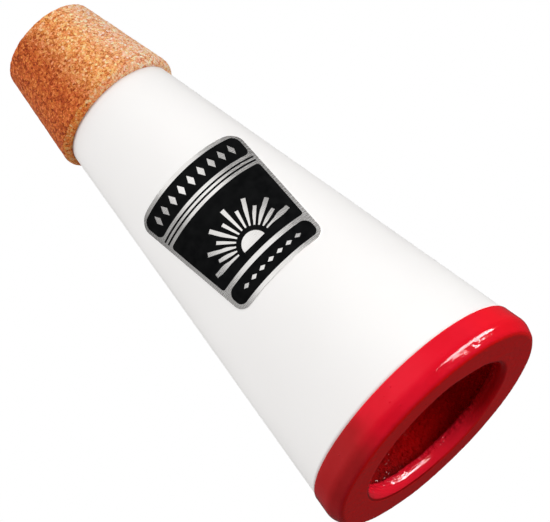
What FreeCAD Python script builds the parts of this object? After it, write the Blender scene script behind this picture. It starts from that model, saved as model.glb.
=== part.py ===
import FreeCAD
import Part

import math
import os

# A wah-wah mute for a trumpet: a stone-lined fibreboard cone with a painted
# mouth ring on its wide end and a cork sleeve on its neck. The mute stands on
# the ring. The axis is Z, the ring's flat face is z = 0, and the label is
# centred on the -Y side. All sizes are in millimetres.

# Cone
joint_radius = 30.0        # outside of the cone where it meets the ring
taper_degrees = 8.1        # half angle of the cone
bare_length = 103.4        # height of the cone between ring and cork
shell_wall = 1.6           # wound fibreboard, measured level
lining_thickness = 1.2     # crushed stone in binder, measured level
glue_line = 0.05           # clearance of every glued joint

# Mouth ring
ring_height = 8.5
ring_proud = 0.35          # how far the ring stands out past the cone
rim_bevel_height = 3.2     # the ring's side leans in below this height
rim_bevel_depth = 1.3
shoulder_round = 4.0       # from the ring's side to its bevel
rim_round = 1.5            # from the bevel to the flat face
mouth_radius = 20.0        # hole in the ring
lip_thickness = 4.0        # the ring's flat end, at the hole
lip_round = 2.4            # painted edge of the hole, outside
lip_inner_round = 0.8      # edge of the hole, inside
spigot_length = 6.0        # part of the ring that is glued into the cone
spigot_wall = 1.4

# Cork sleeve on the neck
cork_length = 28.1
cork_wide_thickness = 2.1
cork_narrow_thickness = 1.6
cork_bevel_height = 1.5    # ground off its wide end
cork_bevel_foot = 0.9      # cork left standing at the foot of the bevel
cork_bevel_round = 0.8
cork_narrow_round = 0.9
neck_recess = 0.6          # how far the cone ends inside the cork's end

# Foil label
label_rise = 36.5          # from the ring up to the label's lower edge
label_height = 37.0
label_top_half_width = 15.5
label_low_half_width = 12.8
label_corner = 3.0
label_foil = 0.15

slope = math.tan(math.radians(taper_degrees))
cork_bottom = ring_height + bare_length
cork_top = cork_bottom + cork_length
neck_top = cork_top - neck_recess
spigot_top = ring_height + spigot_length


def cone_outside(z):
    """Radius of the cone's outer surface at height z."""
    return joint_radius - slope * (z - ring_height)


def cone_inside(z):
    """Radius of the fibreboard's inner surface."""
    return cone_outside(z) - shell_wall


def ring_outside(z):
    """The ring carries the cone's taper on, a little proud of it."""
    return cone_outside(z) + ring_proud


def spigot_outside(z):
    """Outside of the ring's spigot, inside the cone."""
    return cone_inside(z) - glue_line


def ring_inside(z):
    """Wall of the ring above its lip, parallel to the cone."""
    return spigot_outside(z) - spigot_wall


def cork_outside(z):
    """The cork's own taper, a little steeper than the cone's."""
    wide = cone_outside(cork_bottom) + cork_wide_thickness
    narrow = cone_outside(cork_top) + cork_narrow_thickness
    return wide + (narrow - wide) * (z - cork_bottom) / cork_length


def revolve(points):
    """Solid of revolution about Z from (radius, height) corners."""
    corners = [FreeCAD.Vector(radius, 0, height) for radius, height in points]
    face = Part.Face(Part.makePolygon(corners + corners[:1]))
    origin = FreeCAD.Vector(0, 0, 0)
    return face.revolve(origin, FreeCAD.Vector(0, 0, 1), 360)


def round_circle(solid, size, radius, height):
    """Round the circular edge of that radius and height."""
    near = 0.001
    edges = []
    for edge in solid.Edges:
        curve = edge.Curve
        if not isinstance(curve, Part.Circle):
            continue
        if abs(curve.Radius - radius) < near and abs(curve.Center.z - height) < near:
            edges.append(edge)
    return solid.makeFillet(size, edges)


def make_cone_shell():
    """Wound fibreboard cone, butted on the ring's upper ledge."""
    low = ring_height + glue_line
    return revolve([
        (cone_inside(low), low),
        (cone_outside(low), low),
        (cone_outside(neck_top), neck_top),
        (cone_inside(neck_top), neck_top),
    ])


def make_end_ring():
    """Pressed ring: bevelled rim, lip round the mouth, undercut and spigot."""
    shoulder = ring_outside(rim_bevel_height)
    rim = shoulder - rim_bevel_depth
    ring = revolve([
        (mouth_radius, 0),
        (rim, 0),
        (shoulder, rim_bevel_height),
        (ring_outside(ring_height), ring_height),
        (spigot_outside(ring_height), ring_height),
        (spigot_outside(spigot_top), spigot_top),
        (ring_inside(spigot_top), spigot_top),
        (ring_inside(lip_thickness), lip_thickness),
        (mouth_radius, lip_thickness),
    ])
    ring = round_circle(ring, shoulder_round, shoulder, rim_bevel_height)
    ring = round_circle(ring, rim_round, rim, 0)
    ring = round_circle(ring, lip_round, mouth_radius, 0)
    return round_circle(ring, lip_inner_round, mouth_radius, lip_thickness)


def make_stone_lining():
    """Stone lining, laid over the ring's inner wall and up the whole cone."""
    low = lip_thickness + glue_line
    over = spigot_top + glue_line

    def against_ring(z):
        return ring_inside(z) - glue_line

    def against_cone(z):
        return cone_inside(z) - glue_line

    return revolve([
        (against_ring(low) - lining_thickness, low),
        (against_ring(low), low),
        (against_ring(over), over),
        (against_cone(over), over),
        (against_cone(neck_top), neck_top),
        (against_cone(neck_top) - lining_thickness, neck_top),
        (against_cone(over + spigot_wall) - lining_thickness, over + spigot_wall),
        (against_ring(over) - lining_thickness, over),
    ])


def make_cork_sleeve():
    """Cork strip round the neck, ground to a taper that seats in the bell."""
    bevel_top = cork_bottom + cork_bevel_height
    cork = revolve([
        (cone_outside(cork_bottom) + glue_line, cork_bottom),
        (cone_outside(cork_bottom) + cork_bevel_foot, cork_bottom),
        (cork_outside(bevel_top), bevel_top),
        (cork_outside(cork_top), cork_top),
        (cone_outside(cork_top) + glue_line, cork_top),
    ])
    cork = round_circle(cork, cork_bevel_round, cork_outside(bevel_top), bevel_top)
    return round_circle(cork, cork_narrow_round, cork_outside(cork_top), cork_top)


def make_foil_label():
    """Foil label wrapped on the cone, narrower towards the ring."""
    low = ring_height + label_rise
    high = low + label_height
    wrap = revolve([
        (cone_outside(low) + glue_line, low),
        (cone_outside(low) + glue_line + label_foil, low),
        (cone_outside(high) + glue_line + label_foil, high),
        (cone_outside(high) + glue_line, high),
    ])
    outline = [
        FreeCAD.Vector(-label_low_half_width, 0, low),
        FreeCAD.Vector(label_low_half_width, 0, low),
        FreeCAD.Vector(label_top_half_width, 0, high),
        FreeCAD.Vector(-label_top_half_width, 0, high),
    ]
    cutter = Part.Face(Part.makePolygon(outline + outline[:1]))
    cutter = cutter.extrude(FreeCAD.Vector(0, -2 * joint_radius, 0))
    across = [edge for edge in cutter.Edges if abs(edge.tangentAt(edge.FirstParameter).y) > 0.5]
    return wrap.common(cutter.makeFillet(label_corner, across))


parts = {
    "cone_shell": make_cone_shell,
    "end_ring": make_end_ring,
    "stone_lining": make_stone_lining,
    "cork_sleeve": make_cork_sleeve,
    "foil_label": make_foil_label,
}

os.makedirs("parts", exist_ok=True)
for name, make in parts.items():
    shape = make()
    shape.exportStep("parts/" + name + ".step")
    print(name, "solids", len(shape.Solids), "volume", round(shape.Volume, 1), "valid", shape.isValid())
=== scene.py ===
import math

import bpy
import numpy as np
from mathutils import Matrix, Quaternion, Vector, geometry, noise


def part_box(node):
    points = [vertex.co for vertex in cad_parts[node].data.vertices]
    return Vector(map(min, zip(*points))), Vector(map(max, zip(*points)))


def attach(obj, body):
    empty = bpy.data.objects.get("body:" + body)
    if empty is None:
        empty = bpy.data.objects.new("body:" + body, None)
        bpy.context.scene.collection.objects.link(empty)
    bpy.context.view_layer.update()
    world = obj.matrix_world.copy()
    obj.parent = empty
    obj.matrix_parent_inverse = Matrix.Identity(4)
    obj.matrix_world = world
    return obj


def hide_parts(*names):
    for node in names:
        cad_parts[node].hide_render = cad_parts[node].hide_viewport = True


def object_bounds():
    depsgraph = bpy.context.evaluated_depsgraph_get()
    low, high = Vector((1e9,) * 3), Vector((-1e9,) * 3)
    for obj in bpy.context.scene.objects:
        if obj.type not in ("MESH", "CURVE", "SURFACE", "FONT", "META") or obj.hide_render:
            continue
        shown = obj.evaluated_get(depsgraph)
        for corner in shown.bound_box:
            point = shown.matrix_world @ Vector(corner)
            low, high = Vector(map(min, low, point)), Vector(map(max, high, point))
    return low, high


# A wah-wah mute for a trumpet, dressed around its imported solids. Lengths are in
# millimetres up to the meshes, which are in metres. The axis is Z, the mouth
# ring's flat face is z = 0, and the label is centred on the -Y side. A turn
# round the axis starts at -Y and goes towards +X.
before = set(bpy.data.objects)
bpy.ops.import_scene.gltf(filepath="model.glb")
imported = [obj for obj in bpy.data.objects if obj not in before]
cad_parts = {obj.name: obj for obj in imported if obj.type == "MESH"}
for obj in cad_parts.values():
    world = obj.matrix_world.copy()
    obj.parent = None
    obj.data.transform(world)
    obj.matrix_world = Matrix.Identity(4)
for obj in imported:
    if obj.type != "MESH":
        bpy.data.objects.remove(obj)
cad_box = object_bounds()

MM = 0.001


def box_mm(node):
    low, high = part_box(node)
    return low / MM, high / MM


shell_low, shell_high = box_mm("cone_shell")
ring_high = box_mm("end_ring")[1]
lining_low, lining_high = box_mm("stone_lining")
cork_low, cork_high = box_mm("cork_sleeve")
label_low, label_high = box_mm("foil_label")

# Cone
taper = math.tan(math.radians(8.1))
shell_wall = 1.6
glue_line = 0.05
# Mouth ring
ring_height = shell_low.z - glue_line
ring_proud = 0.35
rim_bevel_height = 3.2
rim_bevel_depth = 1.3
shoulder_round = 4.0
rim_round = 1.5
mouth_radius = 20.0
lip_thickness = 4.0
lip_round = 2.4
lip_tight_round = 1.45     # the same edge on the +X side, where the paint fills it
lip_fill_from = 6.0        # x where the filling starts, and where it is full
lip_fill_full = 14.0
lip_inner_round = 0.8
spigot_wall = 1.4
paint_side = 29.8          # radius that tells the ring's side from its face
paint_lip = 21.45          # radius where the lip's painted light, a brighter red, ends
shade_line_radius = 21.65       # radius of the painted dark shade line round the lip
# Stone lining
lining_thickness = 1.2
red_reach = 19.0           # how far up from the mouth the red paint goes
red_fade = 9.0
stone_spacing = 0.95       # between the grains that stand out
# Cork sleeve
cork_wide_thickness = 2.1
cork_narrow_thickness = 1.6
cork_bevel_height = 1.5
cork_bevel_foot = 0.9      # cork left standing at the foot of its bevel
cork_bevel_round = 0.8
cork_narrow_round = 0.9
granule = 0.66
# Foil label
foil_thickness = 0.15
label_top_half_width = 15.5
label_low_half_width = 12.8
label_corner = 3.0
ink_thickness = 0.03
silver_border = 1.1

joint_radius = shell_high.x
spigot_top = ring_high.z


def cone_outside(z):
    """Radius of the cone's outer surface at height z."""
    return joint_radius - taper * (z - shell_low.z)


def cone_inside(z):
    return cone_outside(z) - shell_wall


def ring_outside(z):
    return cone_outside(z) + ring_proud


def spigot_outside(z):
    return cone_inside(z) - glue_line


def ring_inside(z):
    return spigot_outside(z) - spigot_wall


def cork_outside(z):
    wide = cone_outside(cork_low.z) + cork_wide_thickness
    narrow = cone_outside(cork_high.z) + cork_narrow_thickness
    return wide + (narrow - wide) * (z - cork_low.z) / (cork_high.z - cork_low.z)


def unit(vectors):
    """The same vectors with length 1."""
    return vectors / np.linalg.norm(vectors, axis=-1, keepdims=True)


def rounded_outline(corners, step):
    """Points of a closed outline with arcs of the given radii at its (x, y, radius) corners."""
    points = []
    for index, (x, y, radius) in enumerate(corners):
        corner = np.array((x, y))
        if not radius:
            points.append(corner)
            continue
        back = unit(np.array(corners[index - 1][:2]) - corner)
        ahead = unit(np.array(corners[(index + 1) % len(corners)][:2]) - corner)
        half = math.acos(back @ ahead) / 2
        centre = corner + unit(back + ahead) * radius / math.sin(half)
        start = corner + back * radius / math.tan(half) - centre
        end = corner + ahead * radius / math.tan(half) - centre
        first = math.atan2(start[1], start[0])
        sweep = (math.atan2(end[1], end[0]) - first + math.pi) % math.tau - math.pi
        pieces = max(2, math.ceil(abs(sweep) * radius / step))
        for turn in np.linspace(first, first + sweep, pieces + 1):
            points.append(centre + radius * np.array((math.cos(turn), math.sin(turn))))
    return points


def fill_runs(points, step_at):
    """Adds points along the straight runs of a closed outline, step_at(middle) apart."""
    filled = []
    for index, start in enumerate(points):
        end = points[(index + 1) % len(points)]
        pieces = max(1, math.ceil(np.linalg.norm(end - start) / step_at((start + end) / 2)))
        for share in range(pieces):
            filled.append(start + (end - start) * share / pieces)
    return np.array(filled)


def lathe(outline, columns):
    """Points and outward normals, in rows of columns, of a closed outline turned about Z."""
    ahead = unit(np.roll(outline, -1, axis=0) - outline)
    tangent = unit(ahead + np.roll(ahead, 1, axis=0))
    outward = np.stack([tangent[:, 1], -tangent[:, 0]], axis=1)
    turns = np.linspace(0, math.tau, columns, endpoint=False)
    across = np.stack([np.sin(turns), -np.cos(turns)], axis=1)

    def turned(pairs):
        level = pairs[:, None, :1] * across[None]
        heights = np.repeat(pairs[:, None, 1:], columns, axis=1)
        return np.concatenate([level, heights], axis=2)

    return turned(outline), turned(outward)


def lathe_faces(rows, columns):
    """Quads between the rows and columns of a lathe's points, both closed in a loop."""
    row, column = np.meshgrid(np.arange(rows), np.arange(columns), indexing="ij")
    next_row = (row + 1) % rows
    next_column = (column + 1) % columns
    quads = [(row, column), (row, next_column), (next_row, next_column), (next_row, column)]
    return np.stack([r * columns + c for r, c in quads], axis=2).reshape(-1, 4)


def relief(points, normals, depth):
    """Moves each point along its normal by depth(point), in millimetres."""
    flat = points.reshape(-1, 3)
    lift = np.array([depth(Vector(point)) for point in flat])
    return flat + normals.reshape(-1, 3) * lift[:, None]


def add_piece(name, points, faces, materials, slot, *nodes, sharp_from=None):
    """A smooth mesh of points in millimetres that stands for these CAD nodes."""
    mesh = bpy.data.meshes.new(name)
    mesh.from_pydata((np.asarray(points) * MM).tolist(), [], np.asarray(faces).tolist())
    mesh.polygons.foreach_set("use_smooth", [True] * len(mesh.polygons))
    if sharp_from:
        mesh.set_sharp_from_angle(angle=math.radians(sharp_from))
    mesh.update()
    for material in materials:
        mesh.materials.append(material)
    piece = bpy.data.objects.new(name, mesh)
    bpy.context.scene.collection.objects.link(piece)
    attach(piece, "root")
    if nodes:
        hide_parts(*nodes)
    return piece


def set_inputs(shader, values):
    """Sets each named input of a shader node, or links it where the value is a socket."""
    for name, value in values.items():
        if isinstance(value, bpy.types.NodeSocket):
            shader.id_data.links.new(value, shader.inputs[name])
        else:
            shader.inputs[name].default_value = value


def add_node(tree, kind, inputs=None, **settings):
    """A new node, with its inputs set or linked and its other settings."""
    made = tree.nodes.new(kind)
    for name, value in settings.items():
        setattr(made, name, value)
    set_inputs(made, inputs or {})
    return made


def new_material(name):
    """An empty material: its tree, its main shader and the place on the object in metres."""
    material = bpy.data.materials.new(name)
    material.use_nodes = True
    tree = material.node_tree
    tree.nodes.clear()
    shader = add_node(tree, "ShaderNodeBsdfPrincipled")
    add_node(tree, "ShaderNodeOutputMaterial", {"Surface": shader.outputs[0]})
    place = add_node(tree, "ShaderNodeTexCoord").outputs["Object"]
    return material, tree, shader, place


def noise_at(tree, place, size, detail=3.0, roughness=0.5):
    """Noise whose features are about size millimetres across: its grey and its colour."""
    inputs = {"Vector": place, "Scale": 1 / (size * MM), "Detail": detail, "Roughness": roughness}
    made = add_node(tree, "ShaderNodeTexNoise", inputs)
    return made.outputs[0], made.outputs[1]


def cells_at(tree, place, size, feature="F1"):
    """Cells about size millimetres across: their distance output and their random colour."""
    inputs = {"Vector": place, "Scale": 1 / (size * MM)}
    made = add_node(tree, "ShaderNodeTexVoronoi", inputs, feature=feature)
    return made.outputs["Distance"], made.outputs.get("Color")


def math_of(tree, operation, first, second, clamp=False):
    """An arithmetic node of two values, each a number or a socket."""
    made = add_node(tree, "ShaderNodeMath", operation=operation, use_clamp=clamp)
    for socket, value in zip(made.inputs, (first, second)):
        if isinstance(value, bpy.types.NodeSocket):
            tree.links.new(value, socket)
        else:
            socket.default_value = value
    return made.outputs[0]


def product_of(tree, first, *others):
    """All the values multiplied."""
    for other in others:
        first = math_of(tree, "MULTIPLY", first, other)
    return first


def step_of(tree, value, low, high, to_low=0.0, to_high=1.0):
    """Takes value's range from low to high smoothly to another range."""
    names = ("Value", "From Min", "From Max", "To Min", "To Max")
    inputs = dict(zip(names, (value, low, high, to_low, to_high)))
    made = add_node(tree, "ShaderNodeMapRange", inputs, interpolation_type="SMOOTHSTEP")
    return made.outputs[0]


def step_mm(tree, length, low, high, to_low=0.0, to_high=1.0):
    """The same for a length in metres, whose range is given in millimetres."""
    return step_of(tree, length, low * MM, high * MM, to_low, to_high)


def level_of(tree, share, first, second):
    """The first number, turned into the second by share."""
    return add_node(tree, "ShaderNodeMix", {0: share, 2: first, 3: second}).outputs[0]


def mixed(tree, share, first, second, blend="MIX"):
    """The first colour, turned into the second by share."""
    made = add_node(tree, "ShaderNodeMix", data_type="RGBA", blend_type=blend)
    for index, value in ((0, share), (6, first), (7, second)):
        if isinstance(value, bpy.types.NodeSocket):
            tree.links.new(value, made.inputs[index])
        elif index:
            made.inputs[index].default_value = (*value, 1)
        else:
            made.inputs[index].default_value = value
    return made.outputs[2]


def ramp_of(tree, value, stops):
    """Colours along value from (position, colour) stops."""
    made = add_node(tree, "ShaderNodeValToRGB", {"Fac": value})
    elements = made.color_ramp.elements
    while len(elements) < len(stops):
        elements.new(0.5)
    for element, (position, colour) in zip(elements, stops):
        element.position = position
        element.color = (*colour, 1)
    return made.outputs[0]


def draw_of(tree, tone):
    """A random number for each cell, from the cells' random colour."""
    return add_node(tree, "ShaderNodeSeparateColor", {0: tone}).outputs[0]


def height_of(tree, place):
    return add_node(tree, "ShaderNodeSeparateXYZ", {0: place}).outputs[2]


def bumped(tree, shader, height, depth, under=None):
    """Bumps the shader by height, where 1 is depth millimetres. under is a bump below it."""
    inputs = {"Height": height, "Strength": 1.0, "Distance": depth * MM}
    if under:
        inputs["Normal"] = under
    bump = add_node(tree, "ShaderNodeBump", inputs).outputs[0]
    set_inputs(shader, {"Normal": bump})
    return bump


def blurred_x_of(tree, place, cloud, spread):
    """The place along X, blurred by spread millimetres of cloud, for painted shade and light along X.
    """
    along = add_node(tree, "ShaderNodeSeparateXYZ", {0: place}).outputs[0]
    stray = product_of(tree, math_of(tree, "SUBTRACT", cloud, 0.5), spread * MM)
    return math_of(tree, "ADD", along, stray)


def white_coat_material():
    """Sprayed white coat: nearly smooth, a little uneven in tone and gloss."""
    material, tree, shader, place = new_material("white_coat")
    cloud, _ = noise_at(tree, place, 26, 2)
    peel, _ = noise_at(tree, place, 1.6, 2)
    dust, tone = cells_at(tree, place, 6)
    colour = ramp_of(tree, cloud, [(0.3, (0.94, 0.922, 0.908)), (0.7, (0.96, 0.943, 0.93))])
    chosen = step_of(tree, draw_of(tree, tone), 0.86, 0.9)
    spot = product_of(tree, step_of(tree, dust, 0.03, 0.015), chosen, 0.3)
    colour = mixed(tree, spot, colour, (0.55, 0.5, 0.44))
    set_inputs(shader, {
        "Base Color": colour,
        "Roughness": step_of(tree, cloud, 0.3, 0.7, 0.45, 0.55),
        "Specular IOR Level": 0.05,
    })
    bumped(tree, shader, peel, 0.012)
    return material


def board_material():
    """Raw grey-brown fibreboard, seen on the cone's cut end and inside."""
    material, tree, shader, place = new_material("raw_board")
    fibres, _ = noise_at(tree, place, 0.7, 4)
    colour = ramp_of(tree, fibres, [(0.3, (0.24, 0.17, 0.115)), (0.7, (0.42, 0.32, 0.23))])
    set_inputs(shader, {"Base Color": colour, "Roughness": 0.85, "Specular IOR Level": 0.2})
    bumped(tree, shader, fibres, 0.08)
    return material


def red_paint_material():
    """Thick gloss paint, brushed on by hand.

    Painted shade and light along X: the ring's side is painted darker towards -X,
    a painted shade, and brighter at the +X end, a painted light. The lip is painted
    brighter than the rest, a painted light, but duller towards +X, a painted shade,
    and on the -X side a painted dark shade line parts it from the flat face.
    """
    material, tree, shader, place = new_material("red_paint")
    cloud, _ = noise_at(tree, place, 9, 3)
    peel, _ = noise_at(tree, place, 1.1, 2)
    fine, _ = noise_at(tree, place, 0.35, 2)
    pebbled, _ = noise_at(tree, place, 0.55, 1)
    speck, speck_tone = cells_at(tree, place, 2.6)

    across = blurred_x_of(tree, place, cloud, 8)
    height = height_of(tree, place)
    level = add_node(tree, "ShaderNodeVectorMath", {0: place, 1: (1, 1, 0)},
                     operation="MULTIPLY").outputs[0]
    radius = add_node(tree, "ShaderNodeVectorMath", {0: level}, operation="LENGTH").outputs["Value"]
    side = step_mm(tree, radius, paint_side - 0.5, paint_side + 0.5)
    face = step_mm(tree, height, 0.5, 0.15)
    lip = step_mm(tree, radius, paint_lip + 0.25, paint_lip - 0.25)
    # painted shade: a dark line round the lip on the -X side, where the lip meets the face
    shade_line = product_of(
        tree,
        step_mm(tree, radius, shade_line_radius + 0.45, shade_line_radius + 0.1),
        step_mm(tree, radius, shade_line_radius - 0.45, shade_line_radius - 0.1),
        step_mm(tree, across, -2, -9),
        step_mm(tree, height, 1.4, 1.0),
    )

    tone_with_painted_light = ramp_of(tree, cloud, [(0.3, (0.76, 0.006, 0.020)), (0.7, (0.82, 0.009, 0.027))])
    # painted shade: the darker red put on the side towards -X
    painted_shade_tone = ramp_of(tree, cloud, [(0.3, (0.40, 0.014, 0.016)), (0.7, (0.46, 0.018, 0.021))])
    # painted light: the lip's brighter red; painted shade: its duller red towards +X
    lip_painted_light_and_shade = mixed(tree, step_mm(tree, across, 2, 14), (0.97, 0.012, 0.034), (0.66, 0.006, 0.010))
    # painted light: brighter red at the +X end of the side
    tone_with_painted_light = mixed(tree, step_mm(tree, across, 17, 28), tone_with_painted_light, (0.93, 0.008, 0.020))
    tone_with_painted_light = mixed(tree, face, tone_with_painted_light, (0.81, 0.006, 0.007))
    tone_with_painted_light = mixed(tree, lip, tone_with_painted_light, lip_painted_light_and_shade)
    tone_with_painted_light = mixed(tree, shade_line, tone_with_painted_light, (0.34, 0.001, 0.001))
    # how much painted shade darkens the side towards -X
    painted_shade_share = product_of(tree, side, step_mm(tree, across, -7.5, -18))
    lip_gloss = step_mm(tree, across, 14, 2, 0.05, 0.2)
    set_inputs(shader, {
        "Base Color": mixed(tree, painted_shade_share, tone_with_painted_light, painted_shade_tone),
        "Roughness": step_of(tree, cloud, 0.3, 0.7, 0.05, 0.09),
        "Specular IOR Level": level_of(tree, lip, 0.12, lip_gloss),
    })

    chosen = step_of(tree, draw_of(tree, speck_tone), 0.35, 0.37)
    raised = product_of(tree, step_of(tree, speck, 0.12, 0.0), chosen)
    pebbled = product_of(tree, pebbled, lip, step_mm(tree, height, 1.9, 2.6))
    under = bumped(tree, shader, peel, 0.02)
    under = bumped(tree, shader, fine, 0.003, under)
    under = bumped(tree, shader, raised, 0.12, under)
    bumped(tree, shader, pebbled, 0.25, under)
    return material


def stone_material():
    """Crushed stone in binder: red paint near the mouth, bare grey-brown beyond it.

    Towards -X the red is painted darker, a painted shade, and some chips in it have a wet gloss.
    """
    material, tree, shader, place = new_material("stone_lining")
    ragged, _ = noise_at(tree, place, 3.5, 4, 0.65)
    fine, _ = noise_at(tree, place, 0.35, 4, 0.6)
    near, tone = cells_at(tree, place, 1.1)
    chip, chip_tone = cells_at(tree, place, 0.6)
    across = blurred_x_of(tree, place, ragged, 5)
    edge = product_of(tree, ragged, red_fade * MM * 1.6)
    reach = math_of(tree, "ADD", height_of(tree, place), edge)
    bare = step_mm(tree, reach, red_reach, red_reach + red_fade)
    stone = ramp_of(tree, draw_of(tree, tone), [
        (0.0, (0.07, 0.055, 0.045)),
        (0.5, (0.2, 0.165, 0.13)),
        (0.85, (0.34, 0.29, 0.23)),
        (1.0, (0.5, 0.46, 0.4)),
    ])
    red = ramp_of(tree, fine, [(0.3, (0.78, 0.002, 0.003)), (0.7, (0.96, 0.004, 0.006))])
    # painted shade: darker red towards -X
    red = mixed(tree, step_mm(tree, across, -4, -17), red, (0.40, 0.002, 0.003))
    wet = product_of(
        tree,
        step_of(tree, chip, 0.5, 0.4),
        step_of(tree, draw_of(tree, chip_tone), 0.3, 0.35),
        step_mm(tree, across, -8, -14),
        step_of(tree, bare, 0, 1, 0.2, 0),
    )
    set_inputs(shader, {
        "Base Color": mixed(tree, bare, red, stone),
        "Roughness": 0.7,
        "Specular IOR Level": 0.015,
        "Coat Weight": wet,
        "Coat Roughness": 0.06,
    })
    under = bumped(tree, shader, fine, 0.05)
    under = bumped(tree, shader, step_of(tree, chip, 0.55, 0.0), 0.1, under)
    bumped(tree, shader, step_of(tree, near, 0.55, 0.0), 0.2, under)
    return material


def cork_material():
    """Agglomerated cork: granules of many browns with dark gaps and pits between them.

    It is painted darker brown towards -X, a painted shade, and paler towards +X, a
    painted light; its bevel is painted lighter and more orange, a painted light.
    """
    material, tree, shader, place = new_material("cork")
    _, drift = noise_at(tree, place, 0.8, 2)
    centred = add_node(tree, "ShaderNodeVectorMath", {0: drift, 1: (0.5, 0.5, 0.5)},
                       operation="SUBTRACT").outputs[0]
    scaled = add_node(tree, "ShaderNodeVectorMath", {0: centred, "Scale": 0.25 * MM},
                      operation="SCALE").outputs[0]
    warped = add_node(tree, "ShaderNodeVectorMath", {0: place, 1: scaled}).outputs[0]
    _, tone = cells_at(tree, warped, granule)
    gap, _ = cells_at(tree, warped, granule, "DISTANCE_TO_EDGE")
    pitted, _ = noise_at(tree, warped, 0.95, 2, 0.55)
    cloud, _ = noise_at(tree, place, 6, 3)
    fine, _ = noise_at(tree, place, 0.42, 3, 0.6)
    grain, hue, _ = add_node(tree, "ShaderNodeSeparateColor", {0: tone}).outputs
    tint = ramp_of(tree, hue, [(0.0, (1.0, 0.88, 1.0)), (1.0, (0.96, 1.0, 0.80))])
    mottle = product_of(tree, math_of(tree, "SUBTRACT", fine, 0.44), 2.0)
    grain = math_of(tree, "ADD", product_of(tree, grain, 0.8), mottle, clamp=True)
    # painted shade: darker browns for the -X side
    painted_shade_tone = ramp_of(tree, grain, [
        (0.0, (0.21, 0.031, 0.006)),
        (0.25, (0.49, 0.085, 0.016)),
        (0.6, (0.67, 0.151, 0.032)),
        (0.85, (0.77, 0.21, 0.050)),
        (1.0, (0.86, 0.29, 0.080)),
    ])
    warm = ramp_of(tree, grain, [
        (0.0, (0.48, 0.10, 0.018)),
        (0.25, (0.86, 0.28, 0.065)),
        (0.6, (1.0, 0.48, 0.165)),
        (0.85, (1.0, 0.63, 0.28)),
        (1.0, (1.0, 0.80, 0.48)),
    ])
    # painted light: paler browns for the +X side
    pale = ramp_of(tree, grain, [
        (0.0, (0.68, 0.19, 0.058)),
        (0.25, (0.99, 0.46, 0.21)),
        (0.6, (1.0, 0.70, 0.45)),
        (0.85, (1.0, 0.85, 0.66)),
        (1.0, (1.0, 0.96, 0.88)),
    ])
    # painted light: lighter, more orange browns for the bevel
    tone_with_painted_light = ramp_of(tree, grain, [
        (0.0, (0.60, 0.10, 0.015)),
        (0.3, (1.0, 0.28, 0.055)),
        (0.7, (1.0, 0.42, 0.12)),
        (1.0, (1.0, 0.68, 0.32)),
    ])
    bevel_top = cork_low.z + cork_bevel_height
    # the bevel, where the painted light goes
    ground = step_mm(tree, height_of(tree, place), bevel_top, bevel_top - 0.3)
    across = blurred_x_of(tree, place, cloud, 5)
    # painted shade towards -X, painted light towards +X
    colour = mixed(tree, step_mm(tree, across, -6, 4), painted_shade_tone, warm)
    colour = mixed(tree, step_mm(tree, across, 4, 14), colour, pale)
    # painted light on the bevel, paler towards +X
    tone_with_painted_light = mixed(tree, step_mm(tree, across, -6, 10, 0.0, 0.8), tone_with_painted_light, pale)
    colour = mixed(tree, 1.0, mixed(tree, ground, colour, tone_with_painted_light), tint, "MULTIPLY")
    colour = mixed(tree, step_of(tree, gap, 0.0, 0.1, 0.7, 0.0), colour, (0.66, 0.38, 0.25), "MULTIPLY")
    hole = step_of(tree, pitted, 0.67, 0.76)
    colour = mixed(tree, product_of(tree, hole, 0.9), colour, (0.22, 0.04, 0.007))
    set_inputs(shader, {"Base Color": colour, "Roughness": 0.65, "Specular IOR Level": 0.1})
    rise = math_of(tree, "SUBTRACT", step_of(tree, gap, 0.0, 0.12), hole)
    under = bumped(tree, shader, rise, 0.05)
    bumped(tree, shader, fine, 0.03, under)
    return material


def foil_material():
    """Silver foil, finely brushed round the cone, with faint creases."""
    material, tree, shader, place = new_material("silver_foil")
    stretch = add_node(tree, "ShaderNodeMapping",
                       {"Vector": place, "Scale": (0.06, 0.06, 1.0)}).outputs[0]
    brush, _ = noise_at(tree, stretch, 0.12, 3)
    cloud, _ = noise_at(tree, place, 7, 3)
    colour = ramp_of(tree, cloud, [(0.3, (0.76, 0.74, 0.72)), (0.7, (0.92, 0.90, 0.88))])
    set_inputs(shader, {
        "Base Color": colour,
        "Metallic": 1.0,
        "Roughness": step_of(tree, brush, 0.3, 0.7, 0.2, 0.3),
    })
    under = bumped(tree, shader, brush, 0.004)
    bumped(tree, shader, cloud, 0.05, under)
    return material


def ink_material():
    """Black printing ink with a satin face and a little mottling."""
    material, tree, shader, place = new_material("black_ink")
    cloud, _ = noise_at(tree, place, 2.2, 4)
    colour = ramp_of(tree, cloud, [(0.3, (0.002, 0.0022, 0.0025)), (0.75, (0.006, 0.0062, 0.0065))])
    set_inputs(shader, {
        "Base Color": colour,
        "Roughness": step_of(tree, cloud, 0.3, 0.7, 0.3, 0.42),
        "Specular IOR Level": 0.03,
    })
    bumped(tree, shader, cloud, 0.01)
    return material


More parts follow.
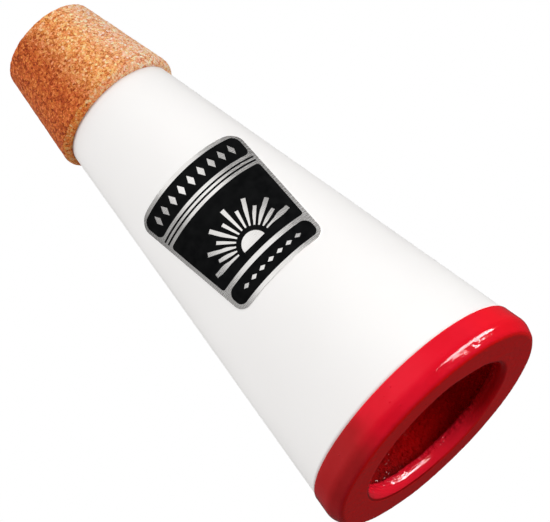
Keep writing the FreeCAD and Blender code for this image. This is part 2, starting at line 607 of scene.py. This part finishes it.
def build_cone():
    """White cone, open at both ends, with raw board on its inner wall and cut end."""
    tucked = 0.1
    coat_depth = 0.35
    low, high = ring_height - tucked, shell_high.z
    corners = [
        (cone_inside(low), low, 0),
        (cone_outside(low), low, 0),
        (cone_outside(high), high, 0.3),
        (cone_inside(high), high, 0.2),
    ]
    outline = fill_runs(rounded_outline(corners, 0.1), lambda middle: 1.0)
    columns = 384
    points, normals = lathe(outline, columns)

    def coat(point):
        return 0.02 * noise.noise(point / 14) + 0.006 * noise.noise(point / 3)

    faces = lathe_faces(len(outline), columns)
    points = relief(points, normals, coat)
    materials = [white_coat_material(), board_material()]
    piece = add_piece("cone_body", points, faces, materials, "white_coat", "cone_shell")
    radii = np.hypot(points[:, 0], points[:, 1])
    raw = radii < cone_outside(points[:, 2]) - coat_depth
    piece.data.polygons.foreach_set("material_index", raw[faces[:, 0]].astype(int))


def clamped(value):
    """The value held between 0 and 1."""
    return max(0.0, min(1.0, value))


def lip_fill(point, radius):
    """How much paint turns the soft round of the hole's edge into the tighter one."""
    centre = mouth_radius + lip_round
    if point.z > lip_round or radius > centre:
        return 0.0
    turn = math.atan2(centre - radius, lip_round - point.z)
    slack = lip_round - lip_tight_round
    if math.tan(min(turn, math.pi / 2 - turn)) * lip_round < slack:
        return lip_round / max(math.sin(turn), math.cos(turn)) - lip_round
    both = slack * (math.sin(turn) + math.cos(turn))
    return both + math.sqrt(both ** 2 - 2 * slack ** 2 + lip_tight_round ** 2) - lip_round


def nibs(point, spacing, size, share):
    """Bumps of height 1 in some of the cells: dust and drips caught in the paint."""
    distances, centres = noise.voronoi(point / spacing)
    if noise.cell(centres[0] * 7.3) < 1 - 2 * share:
        return 0.0
    return math.exp(-(distances[0] * spacing / size) ** 2)


def build_ring():
    """Mouth ring with a thick, uneven coat of gloss paint, heaviest on the lip.

    The paint thins out below the ledge, and none is on the spigot.
    """
    ledge_round = 0.34
    lip_reach = 2.5
    calm_height = 1.2
    shoulder = ring_outside(rim_bevel_height)
    corners = [
        (mouth_radius, 0, lip_round),
        (shoulder - rim_bevel_depth, 0, rim_round),
        (shoulder, rim_bevel_height, shoulder_round),
        (ring_outside(ring_height), ring_height, ledge_round),
        (spigot_outside(ring_height), ring_height, 0),
        (spigot_outside(spigot_top), spigot_top, 0),
        (ring_inside(spigot_top), spigot_top, 0),
        (ring_inside(lip_thickness), lip_thickness, 0),
        (mouth_radius, lip_thickness, lip_inner_round),
    ]
    outline = fill_runs(rounded_outline(corners, 0.18), lambda middle: 0.3 if middle[1] > 0.1 else 0.14)
    columns = 900
    points, normals = lathe(outline, columns)

    def paint(point):
        radius = math.hypot(point.x, point.y)
        below = ring_height - point.z
        on_spigot = radius < spigot_outside(ring_height) + 0.3 and below < 0.4
        if on_spigot or below < 0.05:
            return 0.0
        lip = max(0.0, 1.0 - abs(radius - mouth_radius) / lip_reach)
        rough = (1 - lip) * clamped((3.0 - point.z) / 1.5)
        pebbled = lip * clamped((point.z - 1.9) / 0.6)
        depth = 0.07 * noise.noise(point / 9) + 0.02 * noise.noise(point / 3.1)
        depth += 0.06 * nibs(point, 3.4, 0.32, 0.3)
        depth += rough * (0.04 * noise.noise(point) + 0.05 * nibs(point, 1.5, 0.3, 0.35))
        depth += pebbled * (0.16 * noise.noise(point / 0.9) + 0.2 * nibs(point, 1.4, 0.38, 0.4))
        depth += lip * 0.16 * noise.noise(point / 4.5)
        filled_out = clamped((point.x - lip_fill_from) / (lip_fill_full - lip_fill_from))
        return min(1.0, below / calm_height) * depth + filled_out * lip_fill(point, radius)

    points = relief(points, normals, paint)
    faces = lathe_faces(len(outline), columns)
    add_piece("mouth_ring", points, faces, [red_paint_material()], "red_paint", "end_ring")


def build_lining():
    """Rough stone lining behind the lip and up the whole cone."""
    low = lining_low.z
    over = spigot_top + glue_line
    high = lining_high.z

    def against_ring(z):
        return ring_inside(z) - glue_line

    def against_cone(z):
        return cone_inside(z) - glue_line

    corners = [
        (against_ring(low) - lining_thickness, low, 0.3),
        (against_ring(low), low, 0),
        (against_ring(over), over, 0),
        (against_cone(over), over, 0),
        (against_cone(high), high, 0),
        (against_cone(high) - lining_thickness, high, 0.3),
        (against_cone(over + spigot_wall) - lining_thickness, over + spigot_wall, 0),
        (against_ring(over) - lining_thickness, over, 0),
    ]
    outline = fill_runs(
        rounded_outline(corners, 0.15),
        lambda middle: 3.0 if middle[0] > against_cone(middle[1]) - 0.1 else 0.9,
    )
    seen = outline[:, 0] < against_ring(outline[:, 1]) - lining_thickness * 0.6
    fine_below = 30.0
    pieces = 4
    refined = []
    for index, point in enumerate(outline):
        refined.append(point)
        ahead = outline[(index + 1) % len(outline)]
        if seen[index] and point[1] < fine_below:
            refined.extend(point + (ahead - point) * share / pieces for share in range(1, pieces))
    outline = np.array(refined)
    columns = 640
    points, normals = lathe(outline, columns)

    def grains(point):
        wall = against_ring(point.z) if point.z < over else against_cone(point.z)
        if math.hypot(point.x, point.y) > wall - 0.8 * lining_thickness:
            return 0.0
        distances, centres = noise.voronoi(point / stone_spacing)
        size = 0.5 + 0.5 * noise.cell(centres[0] * 5.1)
        lump = max(0.0, 1 - (distances[0] / 0.75) ** 2)
        return 0.32 * size * lump - 0.12 + 0.08 * noise.noise(point / 0.5)

    points = relief(points, normals, grains)
    faces = lathe_faces(len(outline), columns)
    add_piece("inner_lining", points, faces, [stone_material()], "stone_lining", "stone_lining")


def build_cork():
    """Cork sleeve, ground to its taper, with open pores and crumbled edges."""
    low, high = cork_low.z, cork_high.z
    corners = [
        (cone_outside(low) + glue_line, low, 0),
        (cone_outside(low) + cork_bevel_foot, low, 0.2),
        (cork_outside(low + cork_bevel_height), low + cork_bevel_height, cork_bevel_round),
        (cork_outside(high), high, cork_narrow_round),
        (cone_outside(high) + glue_line, high, 0.2),
    ]
    outline = fill_runs(rounded_outline(corners, 0.15), lambda middle: 0.2)
    columns = 640
    points, normals = lathe(outline, columns)

    def granules(point):
        if math.hypot(point.x, point.y) < cone_outside(point.z) + 0.3:
            return 0.0
        _, centres = noise.voronoi(point)
        pore = nibs(point, 2.6, 0.45, 0.4)
        crumb = 0.05 * noise.cell(centres[0] * 3.7)
        return crumb - 0.16 * pore + 0.03 * noise.noise(point / 0.4) - 0.03

    points = relief(points, normals, granules)
    faces = lathe_faces(len(outline), columns)
    add_piece("cork_band", points, faces, [cork_material()], "cork", "cork_sleeve")


def inside(points, loop):
    """Which of the points lie inside a closed loop."""
    x, y = points[:, 0, None], points[:, 1, None]
    start, end = loop, np.roll(loop, -1, axis=0)
    crosses = (start[:, 1] > y) != (end[:, 1] > y)
    rise = np.where(end[:, 1] == start[:, 1], 1, end[:, 1] - start[:, 1])
    at = start[:, 0] + (y - start[:, 1]) * (end[:, 0] - start[:, 0]) / rise
    return (crosses & (x < at)).sum(axis=1) % 2 == 1


def filled(loop, holes, step):
    """Flat points and triangles that fill a loop but for its holes."""
    loops = [loop, *holes]
    low, high = loop.min(axis=0), loop.max(axis=0)
    across = np.arange(low[0] + step / 3, high[0], step)
    up = np.arange(low[1] + step / 3, high[1], step)
    grid = np.stack(np.meshgrid(across, up), axis=2).reshape(-1, 2)
    edge_points = np.concatenate(loops)
    gaps = np.linalg.norm(grid[:, None] - edge_points[None], axis=2).min(axis=1)
    grid = grid[inside(grid, loop) & (gaps > 0.35 * step)]
    edges = []
    first = 0
    for ring in loops:
        count = len(ring)
        edges.extend((first + index, first + (index + 1) % count) for index in range(count))
        first += count
    given = [Vector(point) for point in np.concatenate([edge_points, grid])]
    result = geometry.delaunay_2d_cdt(given, edges, [], 0, 1e-5)
    points = np.array([tuple(point) for point in result[0]])
    triangles = np.array(result[2])
    middles = points[triangles].mean(axis=1)
    keep = inside(middles, loop)
    for hole in holes:
        keep &= ~inside(middles, hole)
    triangles = triangles[keep]
    used, triangles = np.unique(triangles, return_inverse=True)
    return points[used], triangles.reshape(-1, 3)


def on_cone(flat, height):
    """Puts flat (arc length, z) points on the cone's -Y side, at a height above it."""
    radius = cone_outside(flat[:, 1])
    turn = flat[:, 0] / radius
    reach = radius + height
    return np.stack([reach * np.sin(turn), -reach * np.cos(turn), flat[:, 1]], axis=1)


def thin_solid(flat, triangles, bottom, top):
    """A closed sheet on the cone between two heights above it."""
    count = len(flat)
    sides = np.concatenate([triangles[:, [0, 1]], triangles[:, [1, 2]], triangles[:, [2, 0]]])
    have = {(a, b) for a, b in sides.tolist()}
    rim = [(a, b) for a, b in have if (b, a) not in have]
    faces = triangles.tolist()
    faces += (triangles[:, ::-1] + count).tolist()
    for a, b in sorted(rim):
        faces.append([b, a, a + count])
        faces.append([b, a + count, b + count])
    return np.concatenate([on_cone(flat, top), on_cone(flat, bottom)]), faces


def label_half(z, inset=0.0):
    """Half width of the label at height z, measured round the cone."""
    share = (z - label_low.z) / (label_high.z - label_low.z)
    half = label_low_half_width + (label_top_half_width - label_low_half_width) * share
    return cone_outside(z) * math.asin(half / cone_outside(z)) - inset


def label_panel(low, high, corner):
    """A panel across the label, silver_border inside its edges."""
    corners = [
        (-label_half(low, silver_border), low, corner),
        (label_half(low, silver_border), low, corner),
        (label_half(high, silver_border), high, corner),
        (-label_half(high, silver_border), high, corner),
    ]
    return fill_runs(rounded_outline(corners, 0.3), lambda middle: 0.8)


def lozenge(x, z, half_width, half_height):
    return np.array([
        (x - half_width, z),
        (x, z - half_height),
        (x + half_width, z),
        (x, z + half_height),
    ])


def ray(x, z, turn, spread, near, far):
    """A wedge that starts near and ends far from a centre, for a sunburst."""
    corners = []
    for reach, side in ((near, -1), (far, -1), (far, 1), (near, 1)):
        at = turn + side * spread
        corners.append((x + reach * math.cos(at), z + reach * math.sin(at)))
    return np.array(corners)


def half_disc(x, z, radius):
    turns = np.linspace(0, math.pi, 25)
    return np.stack([x + radius * np.cos(turns), z + radius * np.sin(turns)], axis=1)


def build_label():
    """Silver foil with printed black panels, whose motifs are the bare foil."""
    low, high = label_low.z, label_high.z
    corners = [
        (-label_low_half_width, low, label_corner),
        (label_low_half_width, low, label_corner),
        (label_top_half_width, high, label_corner),
        (-label_top_half_width, high, label_corner),
    ]
    outline = fill_runs(rounded_outline(corners, 0.25), lambda middle: 0.7)
    radius = cone_outside(outline[:, 1])
    outline[:, 0] = radius * np.arcsin(outline[:, 0] / radius)
    flat, triangles = filled(outline, [], 0.8)
    top = glue_line + foil_thickness
    points, faces = thin_solid(flat, triangles, glue_line - 0.04, top)
    add_piece("label_foil", points, faces, [foil_material()], "foil", "foil_label", sharp_from=40)

    strip_height = 6.6
    rules_height = 3.6
    base_height = 5.0
    base_gap = 1.3
    inner_corner = 2.0
    ray_count = 13
    low_ray = math.radians(9)
    ray_turn = math.radians(13.5)
    strip_high = high - silver_border
    strip_low = strip_high - strip_height
    main_high = strip_low - rules_height
    base_low = low + silver_border
    base_high = base_low + base_height
    main_low = base_high + base_gap
    sun_z = main_low + 2.0
    lozenges = [lozenge(3.1 * k, strip_low + strip_height / 2, 0.85, 1.75) for k in range(-4, 5)]
    beads = [lozenge(2.7 * k, base_low + base_height / 2, 0.95, 0.6) for k in range(-3, 4)]
    rays = [half_disc(0, sun_z, 3.1)]
    for k in range(ray_count):
        far = 11.8 if k % 2 == 0 else 9.4
        rays.append(ray(0, sun_z, low_ray + ray_turn * k, math.radians(2.7), 4.4, far))
    panels = [
        (label_panel(strip_low, strip_high, inner_corner), lozenges),
        (label_panel(strip_low - 1.45, strip_low - 0.95, 0), []),
        (label_panel(strip_low - 2.65, strip_low - 2.15, 0), []),
        (label_panel(main_low, main_high, 0.8), rays),
        (label_panel(base_low, base_high, inner_corner), beads),
    ]
    ink = ink_material()
    for number, (loop, motifs) in enumerate(panels, 1):
        flat, triangles = filled(loop, motifs, 0.8)
        points, faces = thin_solid(flat, triangles, top - ink_thickness, top + ink_thickness)
        add_piece("label_print_" + str(number), points, faces, [ink], "foil", sharp_from=40)


def direction(azimuth, elevation):
    """Unit vector from the axis. Azimuth is in degrees from -Y towards +X."""
    turn, rise = math.radians(azimuth), math.radians(elevation)
    return Vector((math.sin(turn) * math.cos(rise), -math.cos(turn) * math.cos(rise), math.sin(rise)))


def add_camera():
    """The photograph's camera: from the front and below, and rolled over."""
    data = bpy.data.cameras.new("camera")
    data.sensor_width = 36.0
    data.lens = 130.909
    data.clip_start = 0.01
    camera = bpy.data.objects.new("camera", data)
    bpy.context.scene.collection.objects.link(camera)
    aim = Vector((1.157, 0, 56.74)) * MM
    back = direction(-2.0, -20.6)
    camera.location = aim + back * 469.9 * MM
    roll = Quaternion((0, 0, 1), math.radians(-45.25))
    camera.rotation_mode = "QUATERNION"
    camera.rotation_quaternion = (-back).to_track_quat("-Z", "Y") @ roll
    bpy.context.scene.camera = camera


def add_softbox(name, azimuth, elevation, width, height, radiance, roll=0.0, shape="RECTANGLE"):
    """A flat light that faces the mute's middle, 0.9 m from it. Sizes are in metres."""
    distance = 0.9
    data = bpy.data.lights.new(name, "AREA")
    data.shape = shape
    data.size = width
    data.size_y = height
    data.energy = 4 * radiance * width * height
    lamp = bpy.data.objects.new(name, data)
    bpy.context.scene.collection.objects.link(lamp)
    middle = (cad_box[0] + cad_box[1]) / 2
    away = direction(azimuth, elevation)
    lamp.location = middle + away * distance
    lamp.rotation_mode = "QUATERNION"
    turned = Quaternion((0, 0, 1), math.radians(roll))
    lamp.rotation_quaternion = (-away).to_track_quat("-Z", "Y") @ turned
    lamp.visible_camera = False
    return lamp


def add_world():
    """White for the camera, a dim room for mirror rays and soft light, mostly from above, otherwise."""
    world = bpy.data.worlds.new("studio")
    bpy.context.scene.world = world
    world.use_nodes = True
    world.cycles.sampling_method = "NONE"
    tree = world.node_tree
    tree.nodes.clear()
    generated = add_node(tree, "ShaderNodeTexCoord").outputs["Generated"]
    along_x, along_y, height = add_node(tree, "ShaderNodeSeparateXYZ", {0: generated}).outputs
    path = add_node(tree, "ShaderNodeLightPath").outputs
    mirror = math_of(tree, "MAXIMUM", path["Is Glossy Ray"], path["Is Transmission Ray"])
    left_to_right = step_of(tree, along_x, -0.6, 0.9, 1.0, 0.33)
    soft = product_of(tree, step_of(tree, height, -0.15, 0.4, 0.2, 1.28), left_to_right)
    towards = {0: generated, 1: direction(-2, 37)}
    facing = add_node(tree, "ShaderNodeVectorMath", towards, operation="DOT_PRODUCT").outputs["Value"]
    glow = step_of(tree, facing, 0.72, 0.98, 0.0, 0.58)
    overhead = step_of(tree, height, -0.1, 0.95, 0.0, 0.5)
    overhead = product_of(tree, overhead, step_of(tree, along_y, 0.6, -0.3, 0.2, 1.0))
    seen_by_mirror = math_of(tree, "ADD", math_of(tree, "ADD", overhead, 0.045), glow)
    level = level_of(tree, path["Is Camera Ray"], level_of(tree, mirror, soft, seen_by_mirror), 1.0)
    light = add_node(tree, "ShaderNodeBackground", {"Color": (1, 1, 1, 1), "Strength": level})
    add_node(tree, "ShaderNodeOutputWorld", {"Surface": light.outputs[0]})


def add_floor(level):
    """Plain pale floor, there only for the camera and only from above.

    The photograph looks at the mute from below, where a floor would hide it.
    """
    half = 30.0  # metres, like level
    mesh = bpy.data.meshes.new("floor")
    mesh.from_pydata(
        [(-half, -half, level), (half, -half, level), (half, half, level), (-half, half, level)],
        [],
        [(0, 1, 2, 3)],
    )
    floor = bpy.data.objects.new("floor", mesh)
    bpy.context.scene.collection.objects.link(floor)
    material = bpy.data.materials.new("pale_floor")
    material.use_nodes = True
    tree = material.node_tree
    tree.nodes.clear()
    path = add_node(tree, "ShaderNodeLightPath").outputs
    behind = add_node(tree, "ShaderNodeNewGeometry").outputs["Backfacing"]
    shown = product_of(tree, path["Is Camera Ray"], math_of(tree, "SUBTRACT", 1.0, behind))
    clear = add_node(tree, "ShaderNodeBsdfTransparent").outputs[0]
    pale = add_node(tree, "ShaderNodeBsdfDiffuse", {"Color": (0.86, 0.86, 0.85, 1)}).outputs[0]
    both = add_node(tree, "ShaderNodeMixShader", {0: shown, 1: clear, 2: pale}).outputs[0]
    add_node(tree, "ShaderNodeOutputMaterial", {"Surface": both})
    mesh.materials.append(material)


build_cone()
build_ring()
build_lining()
build_cork()
build_label()

add_camera()
add_world()
key = add_softbox("key", 62, -22, width=1.0, height=0.45, radiance=3.4)
key.visible_glossy = False
front = add_softbox("front", -20, 30, width=1.1, height=0.5, radiance=1.2)
front.visible_glossy = False
gloss = add_softbox("gloss", 70, -16, width=1.15, height=0.21, radiance=34, roll=13, shape="ELLIPSE")
gloss.visible_diffuse = False
bpy.context.scene.view_settings.view_transform = "Standard"

dressed_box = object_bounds()
add_floor(dressed_box[0].z - 0.05 * MM)
